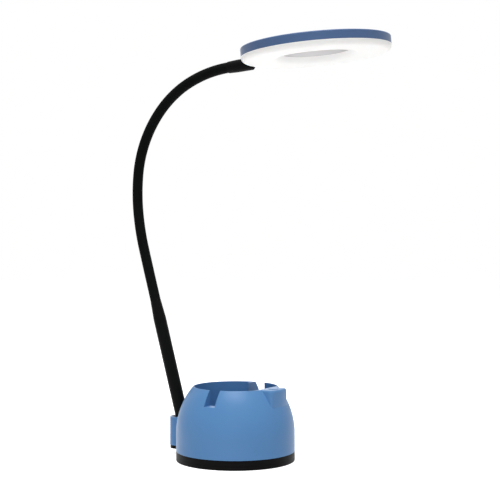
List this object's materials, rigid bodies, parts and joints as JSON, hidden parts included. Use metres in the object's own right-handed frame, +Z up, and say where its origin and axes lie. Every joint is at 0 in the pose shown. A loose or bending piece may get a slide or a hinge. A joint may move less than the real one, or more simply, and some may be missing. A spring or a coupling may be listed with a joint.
{
  "type": "desk lamp with organiser base",
  "caption": "Desk lamp with a round open organiser cup as its base, a bendable black arm and a flat ring-shaped head with a white diffuser.",
  "frame": {"origin": "centre of the base's underside, on the surface that the lamp stands on", "axes": "+Z up, +Y towards the back, where the arm is socketed, -Y towards the button, +X to the right"},
  "size_m": [0.1706, 0.3454, 0.4887],
  "materials": {
    "blue_plastic": "satin",
    "black_plastic": "satin",
    "stem_paint": "satin",
    "sleeve_rubber": "matte",
    "core_steel": "satin",
    "pad_rubber": "matte",
    "wire_rubber": "satin",
    "weight_steel": "matte",
    "screw_steel": "satin",
    "diffuser_white": "satin",
    "ring_white": "satin",
    "light_board": "matte",
    "light_yellow": "gloss",
    "board_green": "satin"
  },
  "bodies": {
    "base": {"base_shell": "blue_plastic", "base_pan": "black_plastic", "base_pad": "pad_rubber", "weight_plate": "weight_steel", "base_screws": "screw_steel", "arm_socket": "blue_plastic", "socket_bush": "black_plastic", "socket_cap": "black_plastic", "socket_screws": "screw_steel", "set_screw": "screw_steel", "stem_tube": "stem_paint", "stem_collar": "black_plastic", "arm_sleeve_1": "sleeve_rubber", "arm_core_1": "core_steel", "control_board": "board_green", "board_screws": "screw_steel", "dimmer_switch": "black_plastic", "power_inlet": "black_plastic", "base_wire": "wire_rubber"},
    "link_1": {"arm_sleeve_2": "sleeve_rubber", "arm_core_2": "core_steel"},
    "link_2": {"arm_sleeve_3": "sleeve_rubber", "arm_core_3": "core_steel"},
    "link_3": {"arm_sleeve_4": "sleeve_rubber", "arm_core_4": "core_steel"},
    "link_4": {"arm_sleeve_5": "sleeve_rubber", "arm_core_5": "core_steel"},
    "link_5": {"arm_sleeve_6": "sleeve_rubber", "arm_core_6": "core_steel"},
    "link_6": {"arm_sleeve_7": "sleeve_rubber", "arm_core_7": "core_steel"},
    "link_7": {"arm_sleeve_8": "sleeve_rubber", "arm_core_8": "core_steel"},
    "link_8": {"arm_sleeve_9": "sleeve_rubber", "arm_core_9": "core_steel", "neck_ferrule": "black_plastic"},
    "head": {"head_shell": "blue_plastic", "diffuser": "diffuser_white", "inner_ring": "ring_white", "neck_tongue": "black_plastic", "neck_screw": "screw_steel", "head_screws": "screw_steel", "led_board": "light_board", "reflector": "ring_white", "leds": "light_yellow"},
    "button": {"dimmer_button": "blue_plastic"}
  },
  "joints": [
    {"name": "arm_bend_1", "type": "hinge", "parent": "base", "child": "link_1", "pos_m": [0, 0.12336, 0.20507], "axis": [1, 0, 0], "range_deg": [-20, 12]},
    {"name": "arm_side_2", "type": "hinge", "parent": "link_1", "child": "link_2", "pos_m": [0, 0.13597, 0.24982], "axis": [0, 0.9637, -0.267], "range_deg": [-15, 15]},
    {"name": "arm_bend_3", "type": "hinge", "parent": "link_2", "child": "link_3", "pos_m": [0, 0.14464, 0.29546], "axis": [1, 0, 0], "range_deg": [-20, 12]},
    {"name": "arm_bend_4", "type": "hinge", "parent": "link_3", "child": "link_4", "pos_m": [0, 0.14464, 0.34187], "axis": [1, 0, 0], "range_deg": [-20, 12]},
    {"name": "arm_side_5", "type": "hinge", "parent": "link_4", "child": "link_5", "pos_m": [0, 0.132, 0.38638], "axis": [0, 0.9013, 0.4333], "range_deg": [-15, 15]},
    {"name": "arm_bend_6", "type": "hinge", "parent": "link_5", "child": "link_6", "pos_m": [0, 0.10513, 0.42406], "axis": [1, 0, 0], "range_deg": [-20, 12]},
    {"name": "arm_bend_7", "type": "hinge", "parent": "link_6", "child": "link_7", "pos_m": [0, 0.06692, 0.4501], "axis": [1, 0, 0], "range_deg": [-20, 12]},
    {"name": "arm_bend_8", "type": "hinge", "parent": "link_7", "child": "link_8", "pos_m": [0, 0.02228, 0.46257], "axis": [1, 0, 0], "range_deg": [-20, 12]},
    {"name": "neck_twist", "type": "hinge", "parent": "link_8", "child": "head", "pos_m": [0, -0.02101, 0.4654], "axis": [0, -0.9985, 0.0541], "range_deg": [-25, 25]},
    {"name": "button_press", "type": "slide", "parent": "base", "child": "button", "axis": [0, 0, -1], "range_m": [0, 0.0006], "stiffness_N_per_m": 600, "springref_m": -0.001}
  ]
}
